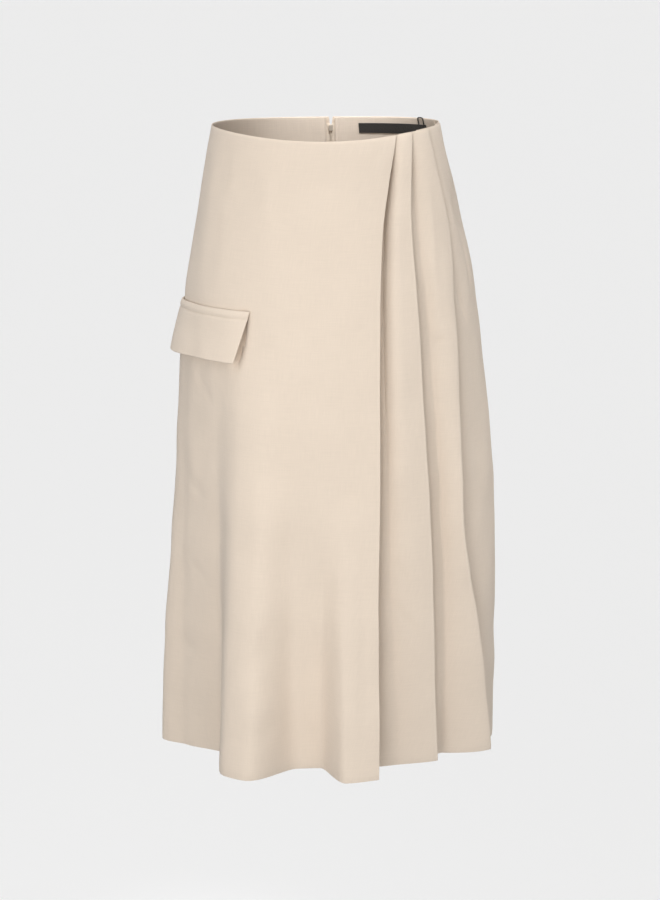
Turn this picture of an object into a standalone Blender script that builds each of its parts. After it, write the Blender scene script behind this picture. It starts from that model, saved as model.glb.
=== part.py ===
"""A pleated midi skirt with a lapped front, built from the pieces that a maker cuts and sews.

The skirt hangs filled out, as if worn. +Z is up, the front faces -Y and the wearer's left is +X. The
origin is the middle of the waist opening. An azimuth goes round the tube: 0 is the wearer's left side,
90 the front, 180 the wearer's right side and 270 the back. A lift is how far the middle of the cloth
lies outside the smooth tube that SECTIONS describes. The flap side is the wearer's right.
"""

import math

import bmesh
import bpy
from mathutils import Matrix, Vector

MM = 0.001

# ---- driving sizes, in metres and degrees ----

HEM_HEIGHT = -0.771
FRONT_DIP = 10 * MM  # the waist's edge hangs this much lower at the front than at the sides
BACK_DIP = 3 * MM
SIDE_TILT = 1.2 * MM  # and the pleated side stands this much higher
DIP_POWER = 2.5

CLOTH = 1.2 * MM
SEAM_GAP = 0.34 * MM
LAY_GAP = 0.3 * MM  # between a piece and what it lies on

SEAM_FLAP_SIDE = 183.0
SEAM_PLEAT_SIDE = -14.0
BACK_CENTRE = 272.5  # the zip runs a little toward the pleat side of the middle
FULL_TURN = 360.0

# The smooth tube: half widths toward each side, and depths before and behind the side line.
SECTIONS = (
    # name, height, flap side, pleat side, front, back
    ("waist", 0.000, 0.1360, 0.1365, 0.100, 0.093),
    ("yoke", -0.050, 0.1450, 0.1490, 0.109, 0.104),
    ("high_hip", -0.110, 0.1545, 0.1625, 0.119, 0.116),
    ("hip", -0.200, 0.1690, 0.1800, 0.130, 0.128),
    ("thigh", -0.320, 0.1800, 0.1940, 0.138, 0.135),
    ("knee", -0.450, 0.1870, 0.2045, 0.142, 0.138),
    ("calf", -0.610, 0.1965, 0.2090, 0.145, 0.141),
    ("hem", HEM_HEIGHT, 0.2040, 0.2115, 0.147, 0.143),
)

# Soft flutes that open toward the hem. Lifts are those at the hem, in millimetres.
FRONT_FLUTES = (
    # name, azimuth, lift, height where it starts
    ("side_seam", SEAM_FLAP_SIDE, 0, 0.0),
    ("side_edge", 177, 0, 0.0),
    ("side_face", 164, -25, -0.16),
    ("side_hollow", 139, -43, -0.20),
    ("box_edge", 123, 29, -0.20),
    ("box_crest", 115, 34, -0.20),
    ("front_hollow", 101, -22, -0.42),
    ("front_floor", 92, -27, -0.42),
    ("lap_crest", 80, 27, -0.42),
)
BACK_FLUTES = (
    ("side_seam", SEAM_FLAP_SIDE, 0, 0.0),
    ("side_edge", 190, 0, 0.0),
    ("flap_side_hollow", 208, -14, -0.30),
    ("flap_side_crest", 229, 17, -0.26),
    ("inner_hollow", 250, -12, -0.34),
    ("centre", BACK_CENTRE, 5, -0.34),
    ("outer_hollow", 289, -14, -0.30),
    ("pleat_side_crest", 311, 15, -0.28),
    ("pleat_side_hollow", 330, -9, -0.32),
    ("far_side_edge", 341, 0, 0.0),
    ("far_side_seam", FULL_TURN + SEAM_PLEAT_SIDE, 0, 0.0),
)
FLUTE_EASE = 1.3

# The knife pleats. Each laps over the next one toward the wearer's left. A row holds one value for each
# height in PLEAT_HEIGHTS: the azimuth of the folded edge, then in millimetres the lift of that edge, the
# lift of the cloth that comes out beneath it, and how far the hidden underlay reaches back.
PLEAT_HEIGHTS = (0.0, -0.05, -0.11, -0.20, -0.45, -0.62, HEM_HEIGHT)
PLEATS = (
    {
        "name": "lap",
        "azimuth": (52.5, 60.5, 66.5, 69.7, 72.7, 73.4, 74.0),
        "edge": (0, 0, 0, 1, 8, 17, 28),
        "beneath": (-3.4, -6, -9, -10, -14, -16, -18),
        "underlay": (28, 28, 28, 28, 28, 28, 28),
    },
    {
        "name": "second",
        "azimuth": (40.0, 48.0, 52.2, 53.8, 51.8, 49.2, 46.5),
        "edge": (0, 0, 0, 0, -6, -11, -17),
        "beneath": (-3.4, -7, -9, -11, -20, -30, -41),
        "underlay": (14, 16, 18, 20, 24, 25, 26),
    },
    {
        "name": "third",
        "azimuth": (26.5, 26.2, 26.5, 32.0, 36.2, 27.0, 19.0),
        "edge": (0, 0, 0, 0, 1, 2, 4),
        "beneath": (-3.4, -6, -8, -9, -14, -15, -16),
        "underlay": (15, 18, 20, 20, 20, 22, 24),
    },
    {
        "name": "side",
        "azimuth": (6.0, 11.5, 22.0, 23.0, 20.0, 5.0, -4.0),
        "edge": (0, 2.5, 3, 0, 0, 0, 0),
        "beneath": (-3.4, -3.4, -3.4, -4, -5, -5, -5),
        "underlay": (12, 10, 6, 6, 6, 6, 6),
        "opens_out": (-0.085, -0.170),
    },
)
TURN_RADIUS = 0.85 * MM  # of the cloth's middle at a folded edge
ROOM_SHARE = 0.5  # of the room under a folded edge, what lies above its hidden underlay
OPENED_SHARE = 0.25  # where an opened pleat ends, on the way from its edge to the side seam

# Heights of the rings, closer together where the waist curves and beside the zip.
RINGS = (
    0.0, -0.008, -0.020, -0.032, -0.050, -0.075, -0.105, -0.140, -0.180,
    -0.230, -0.290, -0.360, -0.440, -0.520, -0.600, -0.680, HEM_HEIGHT,
)
FRONT_COLUMNS = {"main": 27, "turn": 4, "layer": 3, "panel": 6}
BACK_COLUMNS = 14

# The centre-back opening: half its width at each height.
ZIP_END = -0.185
BACK_OPENING = (
    # name, height, half width in millimetres
    ("corner", 0.000, 2.4),
    ("slider_top", -0.008, 1.5),
    ("slider_foot", -0.018, 1.05),
    ("closed", -0.030, 0.4),
    ("zip_end", ZIP_END, 0.4),
    ("seam", ZIP_END - 0.02, SEAM_GAP / 2 / MM),
    ("hem", HEM_HEIGHT, SEAM_GAP / 2 / MM),
)

TAPE_THICKNESS = 1.0 * MM
TAPE_WIDTH = 11 * MM
TAPE_TOP = -0.0085
TAPE_INNER_EDGE = 1.35 * MM  # from the centre to each tape's edge, where the teeth sit in between

FACING_THICKNESS = 1.0 * MM
FACING_HEIGHT = 45 * MM
FACING_TOP_STEP = 0.6 * MM  # its top edge lies this far below the panel's
FACING_EDGE = 5.5 * MM  # from the centre to its folded edge beside the zip
FACING_BOW = 16 * MM  # it comes off the tape over this length
FACING_COLUMNS = 18

FLAP_THICKNESS = 2.4 * MM
FLAP_FRONT = 121.5  # azimuth of its front end at the seam
FLAP_WIDTH = 165 * MM
FLAP_TOP = -0.2030  # at its front end
FLAP_TILT = 9 * MM  # its back end lies this much lower
FLAP_DROP = 61 * MM
FLAP_TAPER = 9 * MM  # each end comes in by this much at the foot
FLAP_STAND_OFF = 10 * MM
FLAP_CURVE = 0.8  # under 1, it bends away from the skirt mostly near its seam
FLAP_COLUMNS = 12
FLAP_ROWS = 6

LABEL_THICKNESS = 1.0 * MM
LABEL_LENGTH = 97 * MM
LABEL_HEIGHT = 12.5 * MM
LABEL_START = 287.0
LABEL_DROP = 8 * MM  # of its top edge below the waist's edge
LABEL_COLUMNS = 16

LOOP_RADIUS = 0.7 * MM
LOOP_WIDTH = 8 * MM
LOOP_AZIMUTH = 328.5
LOOP_RISE = 1.0 * MM  # above the waist's edge
LOOP_SHOULDER = 0.35  # share of its height over the label at which each leg starts to bend over

# The zip slider and its pull. Sizes are across, out of the skirt and up.
SLIDER_BODY = Vector((5.0, 2.4, 8.0)) * MM
SLIDER_EDGE = 0.6 * MM
SLIDER_HEIGHT = -0.0130  # of the middle of its body
NECK_WIDTH = 1.4 * MM
NECK_LENGTH = 5.4 * MM
NECK_EDGE = 0.4 * MM
LUG_OUT = 3.0 * MM  # beyond the middle of the back's cloth
PULL_THICKNESS = 1.0 * MM
PULL_WIDTH = 5.6 * MM
PULL_LENGTH = 20 * MM
PULL_TAPER_FROM = 7.0 * MM  # below the pin, where its sides start to close in on the rounded foot
PULL_FOOT_RADIUS = 2.0 * MM
PULL_WINDOW = Vector((2.6, 3.4)) * MM
PIN_HOLE_RADIUS = 0.8 * MM

ECRU = (0.86, 0.75, 0.62)
ECRU_INSIDE = (0.80, 0.70, 0.59)
TAPE_IVORY = (0.78, 0.68, 0.57)
METAL_IVORY = (0.83, 0.78, 0.70)
LABEL_BLACK = (0.035, 0.030, 0.028)


# ---- the smooth tube ----


def blend(start, end, share):
    return start + (end - start) * share


def through(places, values, place):
    """A smooth curve through the values, with no overshoot. The places rise or fall all the way."""
    if places[0] > places[-1]:
        places, place = [-p for p in places], -place
    place = min(max(place, places[0]), places[-1])
    i = 0
    while i < len(places) - 2 and place > places[i + 1]:
        i += 1
    rises = [
        (values[j + 1] - values[j]) / (places[j + 1] - places[j])
        for j in range(max(i - 1, 0), min(i + 2, len(places) - 1))
    ]
    here = rises[min(i, 1)]
    slope_start = shared_slope(rises[0], here) if i else here
    slope_end = shared_slope(here, rises[-1]) if i < len(places) - 2 else here
    step = places[i + 1] - places[i]
    s = (place - places[i]) / step
    start_part = (values[i] * (1 + 2 * s) + slope_start * step * s) * (1 - s) ** 2
    end_part = (values[i + 1] * (3 - 2 * s) - slope_end * step * (1 - s)) * s**2
    return start_part + end_part


def shared_slope(before, after):
    return 2 * before * after / (before + after) if before * after > 0 else 0.0


def column_of(rows, column):
    return [row[column] for row in rows]


def half_sizes(height):
    """Flap side, pleat side, front and back of the smooth tube at this height."""
    heights = column_of(SECTIONS, 1)
    return [through(heights, column_of(SECTIONS, c), height) for c in (2, 3, 4, 5)]


def quarter(azimuth, sizes):
    """The two half axes of the quarter that this azimuth is in, and its cosine and sine."""
    flap_side, pleat_side, front, back = sizes
    c, s = math.cos(math.radians(azimuth)), math.sin(math.radians(azimuth))
    return (pleat_side if c > 0 else flap_side), (front if s > 0 else back), c, s


def edge_dip(azimuth):
    """Height of the waist's edge above the origin."""
    c, s = math.cos(math.radians(azimuth)), math.sin(math.radians(azimuth))
    return SIDE_TILT * c - (FRONT_DIP if s > 0 else BACK_DIP) * abs(s) ** DIP_POWER


def outward(azimuth, height):
    """The unit vector that points straight out of the tube."""
    across, deep, c, s = quarter(azimuth, half_sizes(height))
    return Vector((c / across, -s / deep, 0)).normalized()


def on_tube(azimuth, height, lift):
    """A point of the cloth. The waist's dip fades out toward the level hem."""
    across, deep, c, s = quarter(azimuth, half_sizes(height))
    z = height + edge_dip(azimuth) * (1 - height / HEM_HEIGHT)
    return Vector((across * c, -deep * s, z)) + outward(azimuth, height) * lift


def degrees_for(length, azimuth, height):
    """How many degrees of azimuth this length along the tube takes."""
    across, deep, c, s = quarter(azimuth, half_sizes(height))
    return math.degrees(length / math.hypot(across * s, deep * c))


# ---- flutes and pleats ----


def opening_share(height, start):
    """0 where a flute starts and 1 at the hem."""
    share = (start - height) / (start - HEM_HEIGHT)
    return min(max(share, 0.0), 1.0) ** FLUTE_EASE


def fluted_lift(flutes, azimuth, height, extra=()):
    """Lift at this azimuth. extra is one more (azimuth, lift) after the last flute."""
    azimuths = column_of(flutes, 1) + column_of(extra, 0)
    lifts = [lift * MM * opening_share(height, start) for _, _, lift, start in flutes]
    return through(azimuths, lifts + column_of(extra, 1), azimuth)


def pleat_value(pleat, name, height):
    return through(PLEAT_HEIGHTS, pleat[name], height)


def rounded_rise(share):
    """From 0 to 1, steep at first, so that a panel is a blade with a rounded back."""
    return math.sin(min(max(share, 0.0), 1.0) * math.pi / 2)


def soft_step(share):
    share = min(max(share, 0.0), 1.0)
    return share * share * (3 - 2 * share)


def outer_lift(number, azimuth, height, start, edge):
    """Lift of the outer layer that runs from start to the folded edge, both (azimuth, lift)."""
    if number == 0:
        return fluted_lift(FRONT_FLUTES, azimuth, height, (edge,))
    share = (start[0] - azimuth) / (start[0] - edge[0])
    return blend(start[1], edge[1], rounded_rise(share))


def turned(azimuth, lift, way, height, steps):
    """The half turn of a fold, inward. way is -1 toward the wearer's left and 1 back."""
    reach = degrees_for(TURN_RADIUS, azimuth, height)
    for i in range(steps + 1):
        angle = math.pi * i / steps
        yield azimuth + way * reach * math.sin(angle), lift - TURN_RADIUS * (1 - math.cos(angle))


def straight(start, end, steps):
    """The points strictly between two (azimuth, lift) places."""
    for i in range(1, steps):
        yield blend(start[0], end[0], i / steps), blend(start[1], end[1], i / steps)


def pleat_columns(number, height, start, counts):
    """A pleat's (azimuth, lift) places from start to where the next panel comes out, and that place."""
    pleat = PLEATS[number]
    edge = pleat_value(pleat, "azimuth", height), pleat_value(pleat, "edge", height) * MM
    beneath = min(pleat_value(pleat, "beneath", height) * MM, edge[1] - 4 * TURN_RADIUS)
    underlay = pleat_value(pleat, "underlay", height) * MM
    back = edge[0] + degrees_for(underlay, edge[0], height)
    room = ROOM_SHARE * (edge[1] - beneath - 4 * TURN_RADIUS)
    lowest = min(outer_lift(number, back, height, start, edge), edge[1])
    inner = back, lowest - 2 * TURN_RADIUS - room

    outer_steps = counts["panel"] if number else counts["main"]
    places = []
    for i in range(outer_steps):
        azimuth = blend(start[0], edge[0], i / outer_steps)
        places.append((azimuth, outer_lift(number, azimuth, height, start, edge)))
    places += turned(*edge, -1, height, counts["turn"])
    places += straight((edge[0], edge[1] - 2 * TURN_RADIUS), inner, counts["layer"])
    places += turned(*inner, 1, height, counts["turn"])
    places += straight((back, inner[1] - 2 * TURN_RADIUS), (edge[0], beneath), counts["layer"])
    out = edge[0], beneath
    if "opens_out" in pleat:
        return opened(places, start, out, height, pleat["opens_out"])
    return places, out


def opened(places, start, out, height, heights):
    """The same columns spread along a plain panel, as the pleat opens out between two heights."""
    share = soft_step((heights[0] - height) / (heights[0] - heights[1]))
    flat_end = blend(out[0], SEAM_PLEAT_SIDE, OPENED_SHARE)
    spread = []
    for i, (azimuth, lift) in enumerate(places):
        along = i / len(places)
        flat = blend(start[0], flat_end, along), blend(start[1], 0.0, rounded_rise(along))
        spread.append((blend(azimuth, flat[0], share), blend(lift, flat[1], share)))
    return spread, (blend(out[0], flat_end, share), blend(out[1], 0.0, share))


def front_columns(height, counts=FRONT_COLUMNS):
    """(azimuth, lift) of every column of the front at this height, from seam to seam."""
    start = SEAM_FLAP_SIDE, 0.0
    places = []
    for number in range(len(PLEATS)):
        more, start = pleat_columns(number, height, start, counts)
        places += more
    for i in range(counts["panel"] + 1):
        share = i / counts["panel"]
        azimuth = blend(start[0], SEAM_PLEAT_SIDE, share)
        places.append((azimuth, blend(start[1], 0.0, rounded_rise(share))))
    return places


def back_gap(height):
    """Half the width of the centre-back opening."""
    widths = column_of(BACK_OPENING, 2)
    return through(column_of(BACK_OPENING, 1), widths, height) * MM


def back_columns(side, height, count=BACK_COLUMNS):
    """(azimuth, lift) across one back panel. side is -1 on the flap side and 1 on the pleat side."""
    seam = SEAM_FLAP_SIDE if side < 0 else FULL_TURN + SEAM_PLEAT_SIDE
    seam += -side * degrees_for(SEAM_GAP, seam, height)
    centre = BACK_CENTRE + side * degrees_for(back_gap(height), BACK_CENTRE, height)
    for i in range(count + 1):
        azimuth = blend(seam, centre, i / count)
        yield azimuth, fluted_lift(BACK_FLUTES, azimuth, height)


def panel_lift(azimuth, height):
    """Lift of the panel that lies at this azimuth near the flap or on the back."""
    return fluted_lift(FRONT_FLUTES if azimuth < SEAM_FLAP_SIDE else BACK_FLUTES, azimuth, height)


# ---- materials and objects ----


def material(name, colour, roughness, metallic=0.0):
    made = bpy.data.materials.new(name)
    made.use_nodes = True
    shader = made.node_tree.nodes["Principled BSDF"]
    shader.inputs["Base Color"].default_value = (*colour, 1)
    shader.inputs["Roughness"].default_value = roughness
    shader.inputs["Metallic"].default_value = metallic
    return made


def start_scene():
    for old in list(bpy.data.objects):
        bpy.data.objects.remove(old)
    skirt = bpy.data.collections.new("pleated_midi_skirt")
    cutters = bpy.data.collections.new("cutters")
    for made in (skirt, cutters):
        bpy.context.scene.collection.children.link(made)
    cutters.hide_render = True
    return skirt, cutters


def take(collection, name, finish=None):
    """Names the object just added and moves it to its collection."""
    made = bpy.context.object
    made.name = made.data.name = name
    for old in list(made.users_collection):
        old.objects.unlink(made)
    collection.objects.link(made)
    if finish:
        made.data.materials.append(finish)
    return made


def cloth(collection, name, rows, thickness, finish):
    """A grid whose points are rows of points on the cloth's middle, with its real thickness."""
    bpy.ops.mesh.primitive_grid_add(
        x_subdivisions=len(rows[0]) - 1, y_subdivisions=len(rows) - 1, size=1
    )
    made = take(collection, name, finish)
    for vertex, point in zip(made.data.vertices, (p for row in rows for p in row)):
        vertex.co = point
    wall = made.modifiers.new("wall", "SOLIDIFY")
    wall.thickness = thickness
    wall.offset = 0
    wall.use_even_offset = True
    wall.use_quality_normals = True
    made.data.shade_smooth()
    return made


def box(collection, name, centre, size, finish=None):
    bpy.ops.mesh.primitive_cube_add(size=1)
    made = take(collection, name, finish)
    made.data.transform(Matrix.LocRotScale(centre, None, size))
    return made


def cylinder_across(collection, name, centre, radius, length):
    """A cylinder whose axis is X."""
    bpy.ops.mesh.primitive_cylinder_add(vertices=16, radius=radius, depth=length)
    made = take(collection, name)
    made.data.transform(Matrix.Translation(centre) @ Matrix.Rotation(math.pi / 2, 4, "Y"))
    return made


def poly_curve(collection, name, dimensions, points, finish):
    """A curve object with one spline of straight segments."""
    route = bpy.data.curves.new(name, "CURVE")
    route.dimensions = dimensions
    line = route.splines.new("POLY")
    line.points.add(len(points) - 1)
    for place, point in zip(line.points, points):
        place.co = (*point, 1)
    route.materials.append(finish)
    made = bpy.data.objects.new(name, route)
    collection.objects.link(made)
    return made


def boolean(target, other, operation):
    joined = target.modifiers.new(other.name, "BOOLEAN")
    joined.operation = operation
    joined.object = other
    other.hide_render = True
    other.display_type = "WIRE"


def rounded(target, width, segments=2):
    edges = target.modifiers.new("edges", "BEVEL")
    edges.width = width
    edges.segments = segments


# ---- the cut pieces ----


def build_front(skirt, finish):
    rows = []
    for height in RINGS:
        rows.append([on_tube(azimuth, height, lift) for azimuth, lift in front_columns(height)])
    cloth(skirt, "front_panel", rows, CLOTH, finish)


def build_back(skirt, finish, side, name):
    rows = []
    for height in RINGS:
        columns = back_columns(side, height)
        rows.append([on_tube(azimuth, height, lift) for azimuth, lift in columns])
    cloth(skirt, name, rows, CLOTH, finish)


def tape_lift(azimuth, height):
    return panel_lift(azimuth, height) - (CLOTH / 2 + LAY_GAP + TAPE_THICKNESS / 2)


def build_tape(skirt, finish, side, name):
    """A woven tape on the inside of the back, from just under the waist to the zip's end."""
    heights = [h for h in RINGS if TAPE_TOP > h > ZIP_END]
    rows = []
    for height in (TAPE_TOP, *heights, ZIP_END):
        edge = max(TAPE_INNER_EDGE, back_gap(height))
        row = []
        for step in range(3):
            reach = blend(edge, TAPE_WIDTH, step / 2)
            azimuth = BACK_CENTRE + side * degrees_for(reach, BACK_CENTRE, height)
            row.append(on_tube(azimuth, height, tape_lift(azimuth, height)))
        rows.append(row)
    cloth(skirt, name, rows, TAPE_THICKNESS, finish)


def facing_lift(azimuth, height):
    """It lies on the tape beside the zip and comes back to the panel beyond it."""
    flat = CLOTH / 2 + LAY_GAP + FACING_THICKNESS / 2
    over_tape = flat + TAPE_THICKNESS + LAY_GAP
    from_zip = abs(azimuth - BACK_CENTRE) / degrees_for(1.0, BACK_CENTRE, height)
    share = soft_step((from_zip - TAPE_WIDTH) / FACING_BOW)
    return panel_lift(azimuth, height) - blend(over_tape, flat, share)


def build_facing(skirt, finish, side, name):
    """The band that finishes the waist inside, from its folded edge at the zip to the side seam."""
    seam = SEAM_FLAP_SIDE if side < 0 else FULL_TURN + SEAM_PLEAT_SIDE
    rows = []
    for height in (-FACING_TOP_STEP, *(h for h in RINGS if 0 > h > -FACING_HEIGHT), -FACING_HEIGHT):
        edge = degrees_for(FACING_EDGE, BACK_CENTRE, height)
        beyond = degrees_for(TAPE_WIDTH, BACK_CENTRE, height)
        bowed = degrees_for(TAPE_WIDTH + FACING_BOW, BACK_CENTRE, height)
        reach = abs(seam - BACK_CENTRE) - degrees_for(3 * CLOTH, seam, height)
        marks = [edge, beyond, blend(beyond, bowed, 0.5), bowed]
        marks += [blend(bowed, reach, i / FACING_COLUMNS) for i in range(1, FACING_COLUMNS + 1)]
        azimuths = [BACK_CENTRE + side * mark for mark in marks]
        rows.append([on_tube(a, height, facing_lift(a, height)) for a in azimuths])
    cloth(skirt, name, rows, FACING_THICKNESS, finish)


def flap_point(along, down):
    """along goes from 0 at the front end to 1 at the back, down from 0 at the seam to 1."""
    height = FLAP_TOP - FLAP_TILT * along - FLAP_DROP * down
    half = FLAP_WIDTH / 2 - FLAP_TAPER * down
    middle = FLAP_FRONT + degrees_for(FLAP_WIDTH / 2, blend(FLAP_FRONT, 180.0, 0.5), FLAP_TOP)
    reach = half * (2 * along - 1)
    azimuth = middle + degrees_for(reach, middle, height)
    touching = panel_lift(azimuth, height) + CLOTH / 2 + LAY_GAP + FLAP_THICKNESS / 2
    standing = FLAP_STAND_OFF + FLAP_THICKNESS / 2
    lift = blend(touching, standing, down**FLAP_CURVE)
    return on_tube(azimuth, height, lift)


def build_flap(skirt, finish):
    rows = []
    for j in range(FLAP_ROWS + 1):
        rows.append([flap_point(i / FLAP_COLUMNS, j / FLAP_ROWS) for i in range(FLAP_COLUMNS + 1)])
    cloth(skirt, "pocket_flap", rows, FLAP_THICKNESS, finish)


def build_label(skirt, finish):
    """A plain woven label, sewn flat on the facing."""
    end = LABEL_START + degrees_for(LABEL_LENGTH, (LABEL_START + LOOP_AZIMUTH) / 2, 0.0)
    azimuths = [blend(LABEL_START, end, i / LABEL_COLUMNS) for i in range(LABEL_COLUMNS + 1)]
    laid = FACING_THICKNESS / 2 + LAY_GAP + LABEL_THICKNESS / 2
    rows = []
    for drop in (LABEL_DROP, LABEL_DROP + LABEL_HEIGHT / 2, LABEL_DROP + LABEL_HEIGHT):
        rows.append([on_tube(a, -drop, facing_lift(a, -drop) - laid) for a in azimuths])
    cloth(skirt, "waist_label", rows, LABEL_THICKNESS, finish)


def build_loop(skirt, finish):
    """A thin corded hanger loop that stands up from the label's end."""
    facing_face = CLOTH / 2 + LAY_GAP + FACING_THICKNESS
    lift = -(facing_face + LAY_GAP + LOOP_RADIUS)
    half = degrees_for(LOOP_WIDTH / 2, LOOP_AZIMUTH, 0.0)
    foot = -(LABEL_DROP - LAY_GAP)
    shoulder = foot * LOOP_SHOULDER
    places = [(-1.0, foot), (-1.0, blend(foot, shoulder, 0.75))]
    for i in range(1, 6):
        angle = math.pi * i / 6
        places.append((-math.cos(angle), blend(shoulder, LOOP_RISE, math.sin(angle))))
    places += [(1.0, blend(foot, shoulder, 0.75)), (1.0, foot)]
    points = [on_tube(LOOP_AZIMUTH + across * half, height, lift) for across, height in places]
    loop = poly_curve(skirt, "hanger_loop", "3D", points, finish)
    loop.data.bevel_depth = LOOP_RADIUS
    loop.data.bevel_resolution = 2
    loop.data.use_fill_caps = True


# ---- the zip's slider and pull ----


def back_slope():
    """The angle at which the centre back leans out beside the slider."""
    upper, lower = (on_tube(BACK_CENTRE, h, 0.0) for h in (SLIDER_HEIGHT, SLIDER_HEIGHT - PULL_LENGTH))
    run = math.hypot(lower.x - upper.x, lower.y - upper.y)
    return math.atan2(run, upper.z - lower.z)


def zip_frame():
    """From slider axes to the skirt's: X across, Y straight out of the leaning back, Z up along it."""
    place = on_tube(BACK_CENTRE, SLIDER_HEIGHT, 0.0)
    out = outward(BACK_CENTRE, SLIDER_HEIGHT)
    facing = Matrix.Rotation(-math.atan2(out.x, out.y), 4, "Z")
    return Matrix.Translation(place) @ facing @ Matrix.Rotation(back_slope(), 4, "X")


def pin_out():
    """How far the pull's pin lies out of the middle of the cloth."""
    return CLOTH / 2 + LAY_GAP + PULL_THICKNESS / 2


def build_slider(skirt, cutters, finish):
    """The body sits inside, over the tapes. Its neck passes between them to a lug with a hole."""
    body_face = -(CLOTH / 2 + LAY_GAP + TAPE_THICKNESS + LAY_GAP)
    body_middle = Vector((0, body_face - SLIDER_BODY.y / 2, 0))
    body = box(skirt, "zip_slider", body_middle, SLIDER_BODY, finish)
    rounded(body, SLIDER_EDGE)
    neck_foot = body_face - SLIDER_BODY.y / 2
    neck_size = Vector((NECK_WIDTH, LUG_OUT - neck_foot, NECK_LENGTH))
    neck = box(cutters, "neck", Vector((0, (LUG_OUT + neck_foot) / 2, 0)), neck_size)
    rounded(neck, NECK_EDGE, 1)
    hole_place = Vector((0, pin_out(), 0))
    hole = cylinder_across(cutters, "hole", hole_place, PIN_HOLE_RADIUS, 4 * NECK_WIDTH)
    boolean(body, neck, "UNION")
    boolean(body, hole, "DIFFERENCE")
    for made in (body, neck, hole):
        made.matrix_world = zip_frame()


def build_pull(skirt, cutters, finish):
    """A flat tab that hangs by the pin across its window. Its origin is on the pin's axis."""
    half, foot = PULL_WIDTH / 2, PULL_FOOT_RADIUS
    points = [(-half, 0.0, 0.0), (-half, -PULL_TAPER_FROM, 0.0)]
    for i in range(9):
        angle = math.pi * i / 8
        depth = PULL_LENGTH - foot * (1 - math.sin(angle))
        points.append((-foot * math.cos(angle), -depth, 0.0))
    points += [(half, -PULL_TAPER_FROM, 0.0), (half, 0.0, 0.0)]
    outline = poly_curve(cutters, "pull_outline", "2D", points, finish)
    outline.data.splines[0].use_cyclic_u = True
    outline.data.fill_mode = "BOTH"
    outline.data.extrude = PULL_THICKNESS / 2
    graph = bpy.context.evaluated_depsgraph_get()
    mesh = bpy.data.meshes.new_from_object(outline.evaluated_get(graph))
    bpy.data.objects.remove(outline)
    plate = bmesh.new()
    plate.from_mesh(mesh)
    bmesh.ops.remove_doubles(plate, verts=plate.verts, dist=1e-6)
    bmesh.ops.transform(plate, matrix=Matrix.Rotation(math.pi / 2, 4, "X"), verts=plate.verts)
    plate.to_mesh(mesh)
    plate.free()
    mesh.name = "zip_pull"
    tab = bpy.data.objects.new("zip_pull", mesh)
    skirt.objects.link(tab)
    window_middle = Vector((0, 0, -PULL_WINDOW.y / 2))
    window_size = Vector((PULL_WINDOW.x, 4 * PULL_THICKNESS, PULL_WINDOW.y))
    window = box(cutters, "window", window_middle, window_size)
    pin = cylinder_across(cutters, "pin", Vector(), PULL_THICKNESS / 2, PULL_WIDTH)
    boolean(tab, window, "DIFFERENCE")
    boolean(tab, pin, "UNION")
    for part in (tab, window, pin):
        part.matrix_world = zip_frame() @ Matrix.Translation((0, pin_out(), 0))


def build_skirt():
    skirt, cutters = start_scene()
    twill = material("ecru_twill", ECRU, 0.85)
    inside = material("ecru_facing", ECRU_INSIDE, 0.85)
    tape = material("zip_tape", TAPE_IVORY, 0.8)
    metal = material("ivory_painted_metal", METAL_IVORY, 0.4, 0.6)
    label = material("black_woven_label", LABEL_BLACK, 0.7)
    cord = material("black_loop_cord", LABEL_BLACK, 0.7)
    build_front(skirt, twill)
    for side, where in ((-1, "flap_side"), (1, "pleat_side")):
        build_back(skirt, twill, side, f"back_panel_{where}")
        build_facing(skirt, inside, side, f"back_facing_{where}")
        build_tape(skirt, tape, side, f"zip_tape_{where}")
    build_flap(skirt, twill)
    build_label(skirt, label)
    build_loop(skirt, cord)
    build_slider(skirt, cutters, metal)
    build_pull(skirt, cutters, metal)


build_skirt()
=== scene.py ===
"""A pleated midi skirt of ecru twill, hanging filled out, in a plain pale studio.

+Z is up, the front faces -Y and the wearer's left is +X. An azimuth goes round the tube: 0 is the
wearer's left side, 90 the front, 180 the wearer's right side and 270 the back. A lift is how far
the middle of the cloth lies outside the smooth tube that SECTIONS describes.
"""

import math

import bpy
import numpy as np
from mathutils import Matrix, Vector


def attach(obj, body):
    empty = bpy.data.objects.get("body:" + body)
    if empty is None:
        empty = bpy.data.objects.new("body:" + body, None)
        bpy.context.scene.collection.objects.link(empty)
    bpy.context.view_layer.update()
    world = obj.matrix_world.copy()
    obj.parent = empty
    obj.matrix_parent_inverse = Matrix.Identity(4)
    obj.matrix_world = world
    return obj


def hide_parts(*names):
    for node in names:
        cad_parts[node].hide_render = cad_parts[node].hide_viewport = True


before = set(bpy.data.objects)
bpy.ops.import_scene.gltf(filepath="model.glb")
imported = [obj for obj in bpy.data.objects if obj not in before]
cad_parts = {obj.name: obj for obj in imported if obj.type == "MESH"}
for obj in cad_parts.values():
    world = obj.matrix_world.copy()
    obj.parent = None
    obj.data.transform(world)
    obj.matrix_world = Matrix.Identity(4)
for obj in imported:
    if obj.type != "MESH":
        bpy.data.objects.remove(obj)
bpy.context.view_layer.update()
MM = 0.001

# ---- the skirt's form: the same sizes as the cut pieces' solids ----

HEM = -0.771
FRONT_DIP, BACK_DIP, SIDE_TILT, DIP_POWER = 10 * MM, 3 * MM, 1.2 * MM, 2.5
WALL = 1.2 * MM  # of the solids; the shells below lie in the middle of it
CLOTH = 0.9 * MM
SEAM_FLAP_SIDE, SEAM_PLEAT_SIDE, BACK_CENTRE, FULL_TURN = 183.0, -14.0, 272.5, 360.0

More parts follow.
